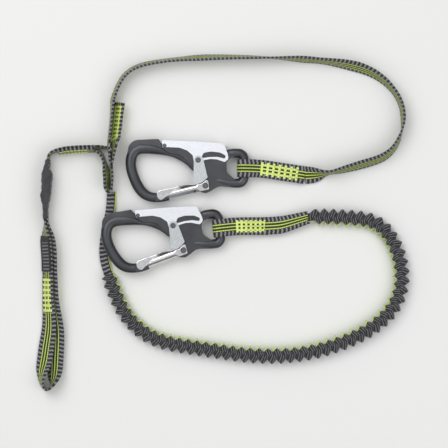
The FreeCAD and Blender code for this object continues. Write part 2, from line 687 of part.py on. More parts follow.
def all_nodes():
    nodes = {}
    lean = Rotation(Vector(0, 1, 0), ELASTIC_LEAN)
    places = {
        "straight": strap_place(STRAIGHT_EYE, 0),
        "elastic": strap_place(ELASTIC_EYE, ELASTIC_TURN).multiply(Placement(Vector(0, 0, 0), lean)),
    }
    pieces = hook_pieces()
    for leg, place in places.items():
        for name, solid in pieces.items():
            nodes[leg + "_" + name] = solid.transformed(place.toMatrix(), True)

    straps = {
        "straight": (STRAIGHT_EYE, 0, STRAIGHT_STRAP_LENGTH, STRAIGHT_STRAP_YAW, STRAIGHT_TACK_LENGTH),
        "elastic": (ELASTIC_EYE, ELASTIC_TURN, ELASTIC_STRAP_LENGTH, 0, ELASTIC_TACK_LENGTH),
    }
    for leg, (centre, turn, length, yaw, tack_length) in straps.items():
        matrix = strap_place(centre, turn).toMatrix()
        nodes[leg + "_leg_hook_strap"] = hook_strap(length, yaw).transformed(matrix, True)
        nodes[leg + "_leg_hook_tack"] = bar_tack(tack_length, yaw).transformed(matrix, True)
    matrix = strap_place(ELASTIC_EYE, ELASTIC_TURN).toMatrix()
    nodes["elastic_leg_hook_end"] = elastic_hook_end().transformed(matrix, True)

    nodes["straight_leg_webbing"] = straight_leg()
    nodes["straight_leg_link_loop"] = straight_leg_link_loop()
    nodes["straight_leg_link_tack"] = link_tack()
    nodes["elastic_leg_cover"], nodes["elastic_leg_core"] = elastic_leg()
    nodes["elastic_leg_link_end"] = elastic_leg_link_end()
    nodes["link_loop_webbing"] = link_loop()
    nodes["strop_webbing"] = strop_webbing()
    nodes["strop_stitching"] = strop_stitching()
    nodes["overload_fold_webbing"] = tear_fold()
    nodes["overload_fold_stitching"] = tear_stitching()
    nodes["overload_sleeve"] = sleeve()
    nodes["harness_loop_webbing"] = harness_loop()
    nodes["harness_loop_tack"] = loop_tack()
    nodes["information_label"] = label()
    return nodes


for node, shape in all_nodes().items():
    if not shape.isValid():
        print("not valid:", node)
    shape.exportStep("parts/" + node + ".step")
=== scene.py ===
import bpy
import math
import numpy as np
from mathutils import Matrix, Vector


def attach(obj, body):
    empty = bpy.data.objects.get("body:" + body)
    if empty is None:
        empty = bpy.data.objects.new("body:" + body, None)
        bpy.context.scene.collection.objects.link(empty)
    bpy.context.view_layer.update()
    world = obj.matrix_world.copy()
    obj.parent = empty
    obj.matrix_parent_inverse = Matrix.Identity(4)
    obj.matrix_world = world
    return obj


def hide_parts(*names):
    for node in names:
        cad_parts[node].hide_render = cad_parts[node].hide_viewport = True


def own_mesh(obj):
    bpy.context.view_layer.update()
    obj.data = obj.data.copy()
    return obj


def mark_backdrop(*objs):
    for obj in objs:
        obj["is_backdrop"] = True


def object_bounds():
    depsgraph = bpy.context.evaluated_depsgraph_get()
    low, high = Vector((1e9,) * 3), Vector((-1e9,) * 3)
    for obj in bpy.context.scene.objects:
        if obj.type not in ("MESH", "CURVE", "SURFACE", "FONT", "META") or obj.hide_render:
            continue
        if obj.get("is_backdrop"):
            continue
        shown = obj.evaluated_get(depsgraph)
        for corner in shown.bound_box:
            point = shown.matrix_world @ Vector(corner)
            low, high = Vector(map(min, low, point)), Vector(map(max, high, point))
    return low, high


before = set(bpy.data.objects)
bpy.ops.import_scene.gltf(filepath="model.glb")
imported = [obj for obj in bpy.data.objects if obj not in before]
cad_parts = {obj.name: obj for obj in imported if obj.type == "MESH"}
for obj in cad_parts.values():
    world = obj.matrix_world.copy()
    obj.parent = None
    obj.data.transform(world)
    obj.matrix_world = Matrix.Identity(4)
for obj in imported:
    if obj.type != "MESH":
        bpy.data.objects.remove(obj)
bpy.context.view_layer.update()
bpy.ops.object.select_all(action="DESELECT")

# ---------------------------------------------------------------- camera
# The lanyard lies on a table and is seen from straight above through a long lens,
# so its parts keep their true proportions.
bpy.ops.object.camera_add(location=(0.1816, 0.1591, 2.547))
camera = bpy.context.object
camera.data.lens = 200
camera.data.sensor_width = 36
bpy.context.scene.camera = camera

# ---------------------------------------------------------------- plain leg
# 18 mm polyester webbing, woven charcoal and grey with three lime lines down the middle.
# It lies on its edge and leans one way and then the other as it goes round.
WEBBING_WIDTH = 0.018
WEBBING_THICK = 0.0022
BAR_PITCH = 0.0042
MESH_STEP = 0.00075
EDGE_SCALLOP = 0.0003
PLAIN_ROUTE = [
    (0.2643, 0.2089, 0.0025), (0.2855, 0.2100, 0.0080), (0.3205, 0.2190, 0.0085),
    (0.3490, 0.2280, 0.0085), (0.3625, 0.2480, 0.0088), (0.3655, 0.2735, 0.0088),
    (0.3560, 0.2960, 0.0085), (0.3325, 0.3155, 0.0080), (0.2980, 0.3240, 0.0085),
    (0.2540, 0.3280, 0.0088), (0.2030, 0.3295, 0.0088), (0.1570, 0.3290, 0.0085),
    (0.1165, 0.3255, 0.0088), (0.0885, 0.3195, 0.0088), (0.0735, 0.3040, 0.0088),
    (0.0680, 0.2855, 0.0088),
]
PLAIN_LEANS = [
    (0.0, 84), (0.025, 50), (0.05, 4), (0.075, 18), (0.12, 27), (0.18, 25), (0.23, 12),
    (0.27, -10), (0.34, -14), (0.40, -26), (0.435, -32), (0.47, -24), (0.51, -13), (0.55, -18),
    (0.605, 0), (0.66, 12), (0.73, 18), (0.77, 22), (0.82, 13), (0.90, 14), (1.0, 14),
]


def spline(name, points):
    """A smooth curve with the given control points."""
    data = bpy.data.curves.new(name, "CURVE")
    data.dimensions = "3D"
    data.resolution_u = 24
    line = data.splines.new("NURBS")
    line.points.add(len(points) - 1)
    for point, place in zip(line.points, points):
        point.co = (*place, 1)
    line.order_u = 3
    line.use_endpoint_u = True
    route = bpy.data.objects.new(name, data)
    bpy.context.scene.collection.objects.link(route)
    return route


def follow(points):
    """The points of the smooth line through a route, one after the other."""
    route = spline("route", points)
    bpy.context.view_layer.update()
    mesh = bpy.data.meshes.new_from_object(route)
    line = np.array([v.co for v in mesh.vertices], float)
    bpy.data.meshes.remove(mesh)
    bpy.data.objects.remove(route)
    return line


def distances(line):
    steps = np.linalg.norm(np.diff(line, axis=0), axis=1)
    return np.concatenate([[0.0], np.cumsum(steps)])


def directions(line):
    ahead = np.gradient(line, axis=0)
    return ahead / np.linalg.norm(ahead, axis=1)[:, None]


def stand(line, leans, half_width=WEBBING_WIDTH / 2, half_thick=WEBBING_THICK / 2, lift=0.0):
    """A level line lifted so that a strap leaning by these angles rests on the table,
    and the direction across the strap at each of its points."""
    gone = distances(line)
    shares, angles = zip(*leans)
    lean = np.interp(gone / gone[-1], shares, angles)
    window = max(3, len(lean) // 40) | 1
    padded = np.pad(lean, window // 2, mode="edge")
    lean = np.radians(np.convolve(padded, np.ones(window) / window, mode="valid"))
    ahead = directions(line)
    side = np.column_stack([-ahead[:, 1], ahead[:, 0], np.zeros(len(line))])
    side /= np.linalg.norm(side, axis=1)[:, None]
    across = side * np.sin(lean)[:, None] + np.array([0, 0, 1]) * np.cos(lean)[:, None]
    placed = line.copy()
    placed[:, 2] = lift + half_width * np.abs(np.cos(lean)) + half_thick * np.abs(np.sin(lean))
    return placed, across


def lay(piece, line, across):
    """Bends a piece that was made flat (x along, y across, z out of its face) along a line."""
    gone = distances(line)
    flat = np.array([v.co for v in piece.data.vertices], float)
    x = np.clip(flat[:, 0], 0, gone[-1])

    def at(values):
        return np.column_stack([np.interp(x, gone, values[:, k]) for k in range(3)])

    ahead = at(directions(line))
    ahead /= np.linalg.norm(ahead, axis=1)[:, None]
    over = at(np.asarray(across, float))
    over -= ahead * np.sum(over * ahead, axis=1)[:, None]
    over /= np.linalg.norm(over, axis=1)[:, None]
    out = np.cross(ahead, over)
    beyond = (flat[:, 0] - x)[:, None]
    moved = at(line) + ahead * beyond + over * flat[:, 1:2] + out * flat[:, 2:3]
    piece.data.vertices.foreach_set("co", moved.astype(np.float32).ravel())
    piece.data.update()
    return piece


def strap(name, length, width=WEBBING_WIDTH, thick=WEBBING_THICK,
          pattern=(-WEBBING_WIDTH / 2, WEBBING_WIDTH / 2)):
    """Flat webbing with rounded edges. Its UV map holds metres along and across the weave."""
    steps = max(8, round(length / MESH_STEP))
    bpy.ops.mesh.primitive_grid_add(x_subdivisions=steps, y_subdivisions=12, size=1)
    piece = bpy.context.object
    piece.name = name
    piece.data.name = name
    piece.data.transform(Matrix.Diagonal((length, width, 1, 1)) @ Matrix.Translation((0.5, 0, 0)))
    uv = piece.data.uv_layers.active.data
    for loop in piece.data.loops:
        co = piece.data.vertices[loop.vertex_index].co
        share = co.y / width + 0.5
        uv[loop.index].uv = (co.x, pattern[0] + share * (pattern[1] - pattern[0]))
    solidify = piece.modifiers.new("thickness", "SOLIDIFY")
    solidify.thickness = thick
    solidify.offset = 0
    bpy.ops.object.modifier_apply(modifier=solidify.name)
    for vertex in piece.data.vertices:
        edge = abs(vertex.co.y) / (width / 2)
        vertex.co.z *= 0.45 if edge > 0.99 else 0.86 if edge > 0.8 else 1.0
        if edge > 0.99:
            vertex.co.y += math.copysign(EDGE_SCALLOP, vertex.co.y) * math.sin(vertex.co.x * 2800)
    bpy.ops.object.shade_smooth()
    return piece


def linear(code):
    """The linear colour of an sRGB hex value."""
    channels = [int(code[i:i + 2], 16) / 255 for i in (1, 3, 5)]
    return (*[c / 12.92 if c <= 0.04045 else ((c + 0.055) / 1.055) ** 2.4 for c in channels], 1)


def new_finish(name):
    """A new material, with its principled shader."""
    made = bpy.data.materials.new(name)
    made.use_nodes = True
    return made, made.node_tree.nodes["Principled BSDF"]


def add(made, kind, inputs=None, **settings):
    """Adds a node with its settings, and with a value or a link for each named input."""
    node = made.node_tree.nodes.new(kind)
    for key, value in settings.items():
        setattr(node, key, value)
    for key, value in (inputs or {}).items():
        if isinstance(value, bpy.types.NodeSocket):
            made.node_tree.links.new(value, node.inputs[key])
        else:
            node.inputs[key].default_value = value
    return node


def ramp(made, factor, stops, interpolation="CONSTANT"):
    node = add(made, "ShaderNodeValToRGB", {"Fac": factor})
    node.color_ramp.interpolation = interpolation
    while len(node.color_ramp.elements) < len(stops):
        node.color_ramp.elements.new(0.5)
    for element, (place, code) in zip(node.color_ramp.elements, stops):
        element.position = place
        element.color = linear(code)
    return node.outputs["Color"]


# Woven polyester: thick grey bars 4.2 mm apart in the charcoal edges, flat lime lines
# in the middle, a dull surface with a little sheen from the filament yarn.
webbing, shader = new_finish("woven_polyester_webbing")
place = add(webbing, "ShaderNodeSeparateXYZ",
            {"Vector": add(webbing, "ShaderNodeUVMap", uv_map="UVMap").outputs["UV"]})
half = add(webbing, "ShaderNodeMath", {0: place.outputs["Y"]}, operation="ABSOLUTE").outputs[0]
share = add(webbing, "ShaderNodeMath", {0: half, 1: 2 / WEBBING_WIDTH}, operation="MULTIPLY").outputs[0]
turn = add(webbing, "ShaderNodeMath", {0: place.outputs["X"], 1: 2 * math.pi / BAR_PITCH},
           operation="MULTIPLY").outputs[0]
outer_band = add(webbing, "ShaderNodeMath", {0: share, 1: 0.74}, operation="GREATER_THAN").outputs[0]
offset = add(webbing, "ShaderNodeMath", {0: outer_band, 1: math.pi * 0.22, 2: turn},
             operation="MULTIPLY_ADD").outputs[0]
wave = add(webbing, "ShaderNodeMath", {0: offset}, operation="SINE").outputs[0]
grain = add(webbing, "ShaderNodeTexNoise", {
    "Vector": add(webbing, "ShaderNodeUVMap", uv_map="UVMap").outputs["UV"],
    "Scale": 1500, "Detail": 3}).outputs["Fac"]
rough_wave = add(webbing, "ShaderNodeMath", {0: grain, 1: 0.7, 2: wave},
                 operation="MULTIPLY_ADD").outputs[0]
blocks = ramp(webbing, add(webbing, "ShaderNodeMapRange", {
    "Value": rough_wave, "From Min": -0.65, "From Max": 1.35}).outputs["Result"],
    [(0.0, "#202023"), (0.50, "#2B2B2F"), (0.66, "#6F6E74"), (1.0, "#908F95")], "LINEAR")
lines = ramp(webbing, share, [
    (0.0, "#D2EA70"), (0.055, "#1F2412"), (0.29, "#D2EA70"), (0.405, "#1F2412")])
fleck = add(webbing, "ShaderNodeMath", {0: place.outputs["X"], 1: 4 * math.pi / BAR_PITCH},
            operation="MULTIPLY").outputs[0]
fleck = add(webbing, "ShaderNodeMath", {0: fleck}, operation="SINE").outputs[0]
fleck = add(webbing, "ShaderNodeMapRange", {"Value": fleck, "From Min": 0.2, "From Max": 1.0,
                                            "To Max": 0.55}).outputs["Result"]
lines = add(webbing, "ShaderNodeMix", {"Factor": fleck, "A": lines, "B": linear("#4A5426")},
            data_type="RGBA")
edge = add(webbing, "ShaderNodeMath", {0: share, 1: 0.47}, operation="GREATER_THAN").outputs[0]
weave = add(webbing, "ShaderNodeMix", {"Factor": edge, "A": lines.outputs["Result"], "B": blocks},
            data_type="RGBA")
webbing.node_tree.links.new(weave.outputs["Result"], shader.inputs["Base Color"])
ribs = add(webbing, "ShaderNodeMath", {0: wave, 1: 0.5}, operation="MULTIPLY").outputs[0]
ribs = add(webbing, "ShaderNodeMath", {0: grain, 1: 0.8, 2: ribs}, operation="MULTIPLY_ADD").outputs[0]
bump = add(webbing, "ShaderNodeBump", {"Height": ribs, "Strength": 0.7, "Distance": 0.0004})
webbing.node_tree.links.new(bump.outputs["Normal"], shader.inputs["Normal"])
shader.inputs["Roughness"].default_value = 0.78
shader.inputs["Sheen Weight"].default_value = 0.15

plain_line, plain_across = stand(follow(PLAIN_ROUTE), PLAIN_LEANS)
plain_leg = lay(strap("plain_leg", distances(plain_line)[-1]), plain_line, plain_across)
plain_leg.data.materials.append(webbing)
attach(plain_leg, "webbing")
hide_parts("straight_leg_webbing")

# ---------------------------------------------------------------- elastic leg
# Tubular webbing gathered over a round rubber core: relaxed, it stands in tight folds
# that bulge to the left and to the right in turn. GATHER is the length of one fold. In a
# crease the cover reaches CREASE_REACH sideways, and a fold bulges FOLD_BULGE beyond that.
GATHER = 0.0092
CREASE_REACH = 0.0042
FOLD_BULGE = 0.0050
CREASE_HEIGHT = 0.0052
FOLD_RISE = 0.0022
FOLD_SLOPE = 0.0030
END_TAPER = 0.006
MERGE = 0.00001
ELASTIC_ROUTE = [
    (0.2670, 0.1662, 0.0075), (0.3050, 0.1660, 0.0075), (0.3405, 0.1610, 0.0075),
    (0.3590, 0.1325, 0.0075), (0.3640, 0.0980, 0.0075), (0.3520, 0.0685, 0.0075),
    (0.3205, 0.0450, 0.0075), (0.2695, 0.0270, 0.0075), (0.2160, 0.0240, 0.0075),
    (0.1620, 0.0320, 0.0075), (0.1110, 0.0400, 0.0075), (0.0825, 0.0630, 0.0075),
    (0.0685, 0.0940, 0.0075), (0.0640, 0.1080, 0.0075),
]
elastic_line = follow(ELASTIC_ROUTE)
elastic_length = distances(elastic_line)[-1]
ahead = directions(elastic_line)
elastic_side = np.column_stack([-ahead[:, 1], ahead[:, 0], np.zeros(len(ahead))])

bpy.ops.mesh.primitive_grid_add(x_subdivisions=round(elastic_length / GATHER * 14),
                                y_subdivisions=32, size=1)
cover = bpy.context.object
cover.name = "gathered_cover"
cover.data.name = "gathered_cover"
uv = cover.data.uv_layers.active.data
for loop in cover.data.loops:
    co = cover.data.vertices[loop.vertex_index].co
    uv[loop.index].uv = ((co.x + 0.5) * elastic_length, co.y + 0.5)
for vertex in cover.data.vertices:
    x = (vertex.co.x + 0.5) * elastic_length
    angle = (vertex.co.y + 0.5) * 2 * math.pi
    sideways = math.cos(angle)
    shift = 0.5 if sideways < 0 else 0.0
    bulge = 1 - (2 * abs((x / GATHER + shift) % 1 - 0.5)) ** 1.25
    other = 1 - (2 * abs((x / GATHER + 0.5 - shift) % 1 - 0.5)) ** 1.25
    blend = 0.5 + 0.5 * min(1.0, abs(sideways) / 0.22)
    bulge = bulge * blend + other * (1 - blend)
    ends = min(1.0, x / END_TAPER, (elastic_length - x) / END_TAPER)
    reach = (CREASE_REACH + FOLD_BULGE * bulge) * (0.6 + 0.4 * ends)
    rise = (CREASE_HEIGHT + FOLD_RISE * bulge ** 0.8) * (0.6 + 0.4 * ends)
    slope = FOLD_SLOPE * abs(sideways) * ends
    vertex.co = (x + slope, sideways * reach, math.sin(angle) * rise)
bpy.ops.object.mode_set(mode="EDIT")
bpy.ops.mesh.select_all(action="SELECT")
bpy.ops.mesh.remove_doubles(threshold=MERGE)
bpy.ops.mesh.select_all(action="DESELECT")
bpy.ops.mesh.select_non_manifold()
bpy.ops.mesh.fill_holes(sides=0)
bpy.ops.mesh.select_all(action="SELECT")
bpy.ops.mesh.normals_make_consistent(inside=False)
bpy.ops.object.mode_set(mode="OBJECT")
bpy.ops.object.shade_smooth()
lay(cover, elastic_line, elastic_side)

# The same yarns as the plain webbing, bunched up: charcoal folds with fine grey
# lines up each fold, and the lime lines peeping out along one side. The creases
# between the folds are darkened with painted shade.
gathers, shader = new_finish("gathered_polyester_webbing")
place = add(gathers, "ShaderNodeSeparateXYZ",
            {"Vector": add(gathers, "ShaderNodeUVMap", uv_map="UVMap").outputs["UV"]})
angle = add(gathers, "ShaderNodeMath", {0: place.outputs["Y"], 1: 2 * math.pi},
            operation="MULTIPLY").outputs[0]
sideways = add(gathers, "ShaderNodeMath", {0: angle}, operation="COSINE").outputs[0]
left = add(gathers, "ShaderNodeMath", {0: sideways, 1: 0.0}, operation="LESS_THAN").outputs[0]
count = add(gathers, "ShaderNodeMath", {0: place.outputs["X"], 1: 1 / GATHER},
            operation="MULTIPLY").outputs[0]
count = add(gathers, "ShaderNodeMath", {0: left, 1: 0.5, 2: count}, operation="MULTIPLY_ADD").outputs[0]
fold = add(gathers, "ShaderNodeMath", {0: count}, operation="FRACT").outputs[0]
from_middle = add(gathers, "ShaderNodeMath", {0: fold, 1: 0.5}, operation="SUBTRACT").outputs[0]
from_middle = add(gathers, "ShaderNodeMath", {0: from_middle}, operation="ABSOLUTE").outputs[0]
yarn = add(gathers, "ShaderNodeMath", {0: fold, 1: 2 * math.pi * 4}, operation="MULTIPLY").outputs[0]
yarn = add(gathers, "ShaderNodeMath", {0: yarn}, operation="COSINE").outputs[0]
grain = add(gathers, "ShaderNodeTexNoise", {
    "Vector": add(gathers, "ShaderNodeTexCoord").outputs["Object"],
    "Scale": 900, "Detail": 3}).outputs["Fac"]
streak = add(gathers, "ShaderNodeMath", {0: grain, 1: 1.4, 2: yarn},
             operation="MULTIPLY_ADD").outputs[0]
colour = ramp(gathers, add(gathers, "ShaderNodeMapRange", {
    "Value": streak, "From Min": 0.0, "From Max": 2.2}).outputs["Result"],
    [(0.0, "#1F1F22"), (0.52, "#2E2E32"), (0.74, "#77767B"), (1.0, "#9A999E")], "LINEAR")
outer = add(gathers, "ShaderNodeMath", {0: sideways, 1: -0.80}, operation="LESS_THAN").outputs[0]
tint_and_crease_shade = add(gathers, "ShaderNodeMix", {"Factor": outer, "A": colour, "B": linear("#C9DD82")},
           data_type="RGBA")
# Painted shade: the colour is darkened towards near-black in the creases between the folds.
crease = add(gathers, "ShaderNodeMapRange", {"Value": from_middle, "From Min": 0.40, "From Max": 0.5,
                                             "To Max": 0.75}).outputs["Result"]
tint_and_crease_shade = add(gathers, "ShaderNodeMix", {"Factor": crease, "A": tint_and_crease_shade.outputs["Result"],
                                      "B": linear("#141416")}, data_type="RGBA")
gathers.node_tree.links.new(tint_and_crease_shade.outputs["Result"], shader.inputs["Base Color"])
bump = add(gathers, "ShaderNodeBump", {"Height": streak, "Strength": 0.6, "Distance": 0.0004})
gathers.node_tree.links.new(bump.outputs["Normal"], shader.inputs["Normal"])
shader.inputs["Roughness"].default_value = 0.8
shader.inputs["Sheen Weight"].default_value = 0.15
cover.data.materials.append(gathers)
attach(cover, "webbing")
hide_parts("elastic_leg_cover")

# The core is a moulded round of natural rubber, dull and slightly mottled.
core = spline("elastic_core", ELASTIC_ROUTE)
core.data.bevel_depth = 0.0038
core.data.bevel_resolution = 6
core.data.use_fill_caps = True
rubber, shader = new_finish("natural_rubber")
mottle = add(rubber, "ShaderNodeTexNoise", {
    "Vector": add(rubber, "ShaderNodeTexCoord").outputs["Object"],
    "Scale": 400, "Detail": 4}).outputs["Fac"]
tone = ramp(rubber, mottle, [(0.3, "#1C1B1A"), (0.7, "#2C2A28")], "LINEAR")
rubber.node_tree.links.new(tone, shader.inputs["Base Color"])
shader.inputs["Roughness"].default_value = 0.65
core.data.materials.append(rubber)
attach(core, "webbing")
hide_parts("elastic_leg_core")

# ---------------------------------------------------------------- hook straps
# The same webbing, folded round the hook's eye and sewn to itself with a bar tack
# of thick lime thread: seven rows across and three rows along.
thread, shader = new_finish("bonded_polyester_thread")
twist = add(thread, "ShaderNodeTexWave", {
    "Vector": add(thread, "ShaderNodeUVMap", uv_map="UVMap").outputs["UV"],
    "Scale": 420, "Distortion": 1.5, "Detail": 1}, bands_direction="DIAGONAL").outputs["Fac"]
tone = ramp(thread, twist, [(0.0, "#C4DA5C"), (0.45, "#EAFC88"), (1.0, "#F4FFA8")], "LINEAR")
thread.node_tree.links.new(tone, shader.inputs["Base Color"])
bump = add(thread, "ShaderNodeBump", {"Height": twist, "Strength": 0.6, "Distance": 0.0003})
thread.node_tree.links.new(bump.outputs["Normal"], shader.inputs["Normal"])
shader.inputs["Roughness"].default_value = 0.5

THREAD_HEIGHT = 0.0006
THREAD_ROUND = 0.00025


def seam(name, rows, height=THREAD_HEIGHT):
    """Rows of thread modelled flat: each row is (x, y, length along x, length along y, z)."""
    made = []
    for x, y, long, wide, z in rows:
        bpy.ops.mesh.primitive_cube_add(size=1)
        row = bpy.context.object
        row.data.transform(Matrix.Translation((x, y, z)) @ Matrix.Diagonal((long, wide, height, 1)))
        uv = row.data.uv_layers.active.data
        for loop in row.data.loops:
            co = row.data.vertices[loop.vertex_index].co
            uv[loop.index].uv = (co.x, co.y)
        made.append(row)
    bpy.ops.object.select_all(action="DESELECT")
    for row in made:
        row.select_set(True)
    bpy.context.view_layer.objects.active = made[0]
    bpy.ops.object.join()
    piece = bpy.context.object
    piece.name = name
    piece.data.name = name
    bpy.ops.object.mode_set(mode="EDIT")
    bpy.ops.mesh.select_all(action="SELECT")
    bpy.ops.mesh.subdivide(number_cuts=5)
    bpy.ops.object.mode_set(mode="OBJECT")
    bevel = piece.modifiers.new("round", "BEVEL")
    bevel.width = THREAD_ROUND
    bevel.segments = 2
    bevel.limit_method = "ANGLE"
    bpy.ops.object.modifier_apply(modifier=bevel.name)
    bpy.ops.object.shade_smooth()
    return piece


def bar_tack_rows(start, length, span, z):
    """Seven rows across the strap and three along it: bars 2.4 mm wide, lines 1.4 mm wide."""
    rows = []
    for count in range(7):
        x = start + 0.0012 + count * (length - 0.0024) / 6
        rows.append((x, 0, 0.0024, span, z))
    for y in (-0.0042, 0, 0.0042):
        rows.append((start + length / 2, y, length, 0.0014, z))
    return rows


HOOK_MIDDLE = 0.008
LAYER = WEBBING_THICK / 2
HOOK_STRAPS = {
    # leg: eye centre, turn, yaw of the run, reach, tack length, tack span
    "straight": ((0.202, 0.216), 0.0, -8.5, 0.0625, 0.039, 0.0135),
    "elastic": ((0.177, 0.155), 7.1, -7.0, 0.0500, 0.031, 0.0125),
}
for leg, (eye, turn, yaw, reach, tack_long, tack_span) in HOOK_STRAPS.items():
    run = (Matrix.Translation((0.015, 0, 0)) @ Matrix.Rotation(math.radians(yaw), 4, "Z")
           @ Matrix.Rotation(math.radians(6.1), 4, "Y"))
    hook = Matrix.Translation((*eye, HOOK_MIDDLE)) @ Matrix.Rotation(math.radians(turn), 4, "Z")
    far = reach - 0.015
    turns = [
        run @ Vector((far, 0, -LAYER)), run @ Vector((far * 0.5, 0, -LAYER)),
        run @ Vector((0.002, 0, -LAYER)), Vector((0.002, 0, -0.0064)),
        Vector((-0.0063, 0, -0.0060)), Vector((-0.0063, 0, 0.0060)), Vector((0.002, 0, 0.0064)),
        run @ Vector((0.002, 0, LAYER)), run @ Vector((far * 0.5, 0, LAYER)),
        run @ Vector((far, 0, LAYER)),
    ]
    line = follow([hook @ point for point in turns])
    gone = distances(line)
    share = np.clip(np.abs(gone / gone[-1] - 0.5) * 2, 0, 1)
    swing = np.radians(turn + yaw * np.clip((share - 0.25) / 0.2, 0, 1))
    across = np.column_stack([-np.sin(swing), np.cos(swing), np.zeros(len(swing))])
    folded = lay(strap(leg + "_hook_strap", gone[-1]), line, across)
    folded.data.materials.append(webbing)
    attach(folded, "webbing")
    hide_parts(leg + "_leg_hook_strap")
    low = bar_tack_rows(far - 0.0015 - tack_long, tack_long, tack_span, 0.0014)
    high = bar_tack_rows(gone[-1] - far + 0.0015, tack_long, tack_span, 0.0014)
    tack = lay(seam(leg + "_hook_tack", low + high), line, across)
    tack.data.materials.append(thread)
    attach(tack, "webbing")
    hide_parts(leg + "_leg_hook_tack")

# ---------------------------------------------------------------- elastic leg's sewn ends
# At the hook the webbing narrows into the gathers. At the strop it is folded in half
# lengthwise and lies flat.
NARROWING = 0.046
line = follow([
    (0.2225, 0.1570, 0.0062), (0.2370, 0.1574, 0.0056), (0.2482, 0.1602, 0.0062),
    (0.2610, 0.1640, 0.0072), (0.2685, 0.1662, 0.0076)])
narrow = strap("elastic_hook_end", distances(line)[-1], thick=0.0026)
for vertex in narrow.data.vertices:
    share = vertex.co.x / NARROWING
    vertex.co.y *= 1 - 0.42 * max(0.0, share - 0.35)
    crown = 1 - (vertex.co.y / (WEBBING_WIDTH / 2)) ** 2
    vertex.co.z += WEBBING_THICK * max(0.0, share - 0.5) * crown
lay(narrow, line, [(-0.14, 0.99, 0)] * len(line))
narrow.data.materials.append(webbing)
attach(narrow, "webbing")
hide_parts("elastic_leg_hook_end")

line, across = stand(follow([
    (0.0642, 0.1070, 0), (0.0590, 0.1205, 0), (0.0588, 0.1400, 0), (0.0632, 0.1610, 0),
    (0.0664, 0.1785, 0), (0.0667, 0.1916, 0)]), [(0, 90), (1, 90)], 0.0048, 0.0022)
half_fold = strap("elastic_link_end", distances(line)[-1], 0.0096, 0.0042, (0.0030, 0.0098))
lay(half_fold, line, across)
half_fold.data.materials.append(webbing)
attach(half_fold, "webbing")
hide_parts("elastic_leg_link_end")

# ---------------------------------------------------------------- plain leg's sewn eye
# The plain leg's end is passed round the strop's loop, where both straps are squeezed
# narrow and the eye rides over the loop. Its tail comes back beside it and is tacked down.


def squeeze(piece, middle, reach, share):
    """Gathers a flat strap to a share of its width for a reach on both sides of a place along it."""
    for vertex in piece.data.vertices:
        near = max(0.0, 1 - abs(vertex.co.x - middle) / reach)
        vertex.co.y *= 1 - (1 - share) * min(1.0, 1.6 * near)
    return piece


line, across = stand(follow([
    (0.0681, 0.2870, 0), (0.0664, 0.2620, 0), (0.0645, 0.2480, 0), (0.0642, 0.2390, 0),
    (0.0650, 0.2280, 0), (0.0658, 0.2205, 0), (0.0678, 0.2205, 0), (0.0688, 0.2280, 0),
    (0.0700, 0.2390, 0), (0.0708, 0.2480, 0), (0.0724, 0.2620, 0), (0.0752, 0.2830, 0)]),
    [(0, 14), (0.12, 8), (0.4, 8), (0.5, 0), (0.58, -12), (0.68, -30), (0.78, -36), (1, -36)])
bottom = np.clip((0.2480 - line[:, 1]) / 0.010, 0, 1)
line[:, 2] += 0.0062 * bottom * bottom * (3 - 2 * bottom)
eye_length = distances(line)[-1]
eye_strap = squeeze(strap("plain_leg_eye", eye_length), eye_length / 2, 0.033, 0.66)
lay(eye_strap, line, across)
eye_strap.data.materials.append(webbing)
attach(eye_strap, "webbing")
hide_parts("straight_leg_link_loop")
rows = [(eye_length - 0.0045 - 0.0042 * count, 0, 0.0022, 0.0130, z)
        for count in range(9) for z in (-0.0014, 0.0014)]
rows += [(eye_length - 0.0215, y, 0.0360, 0.0012, z)
         for y in (-0.0046, 0.0046) for z in (-0.0013, 0.0013)]
eye_tack = lay(seam("plain_leg_eye_tack", rows), line, across)
eye_tack.data.materials.append(thread)
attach(eye_tack, "webbing")
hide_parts("straight_leg_link_tack")

# ---------------------------------------------------------------- strop
# One strap from the harness loop to the link loop: the two layers run side by side on
# their edges, sewn together, and part again to form the loop that carries the legs.
line, across = stand(follow([
    (0.0490, 0.2371, 0), (0.0560, 0.2374, 0), (0.0640, 0.2368, 0), (0.0663, 0.2275, 0),
    (0.0663, 0.2185, 0), (0.0675, 0.2060, 0), (0.0672, 0.1925, 0), (0.0622, 0.1925, 0),
    (0.0622, 0.2060, 0), (0.0610, 0.2170, 0), (0.0585, 0.2265, 0), (0.0545, 0.2330, 0),
    (0.0490, 0.2349, 0)]),
    [(0, 10), (0.15, 8), (0.4, 10), (0.5, 0), (0.6, 18), (0.75, 20), (0.85, 6), (1, 10)])
CROSSING = 0.0185
CROSSING_REACH = 0.016
loop = squeeze(strap("link_loop", distances(line)[-1]), CROSSING, CROSSING_REACH, 0.56)
under = np.clip(1 - np.abs(distances(line) - CROSSING) / CROSSING_REACH, 0, 1)
line[:, 2] -= 0.0037 * np.minimum(1, 1.6 * under)
lay(loop, line, across)
loop.data.materials.append(webbing)
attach(loop, "webbing")
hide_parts("link_loop_webbing")

strop_line, strop_across = stand(follow([
    (0.0032, 0.2215, 0), (0.0034, 0.2290, 0), (0.0090, 0.2326, 0), (0.0200, 0.2343, 0),
    (0.0350, 0.2357, 0), (0.0500, 0.2360, 0)]), [(0, 0), (0.25, 6), (0.45, 14), (1, 12)])
strop_length = distances(strop_line)[-1]
SINGLE_LAYER = 0.017
upper = strap("strop_upper", strop_length)
upper.data.transform(Matrix.Translation((0, 0, -LAYER)))
lower = strap("strop_lower", strop_length - SINGLE_LAYER)
lower.data.transform(Matrix.Translation((SINGLE_LAYER, 0, 0.0012)))
for layer in (upper, lower):
    lay(layer, strop_line, strop_across)
    layer.data.materials.append(webbing)
bpy.ops.object.select_all(action="DESELECT")
upper.select_set(True)
lower.select_set(True)
bpy.context.view_layer.objects.active = upper
bpy.ops.object.join()
upper.name = "strop"
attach(upper, "webbing")
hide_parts("strop_webbing")
rows = [(0.020 + 0.0036 * count, y, 0.0026, 0.0011, 0.0026)
        for count in range(8) for y in (-0.0045, 0.0045)]
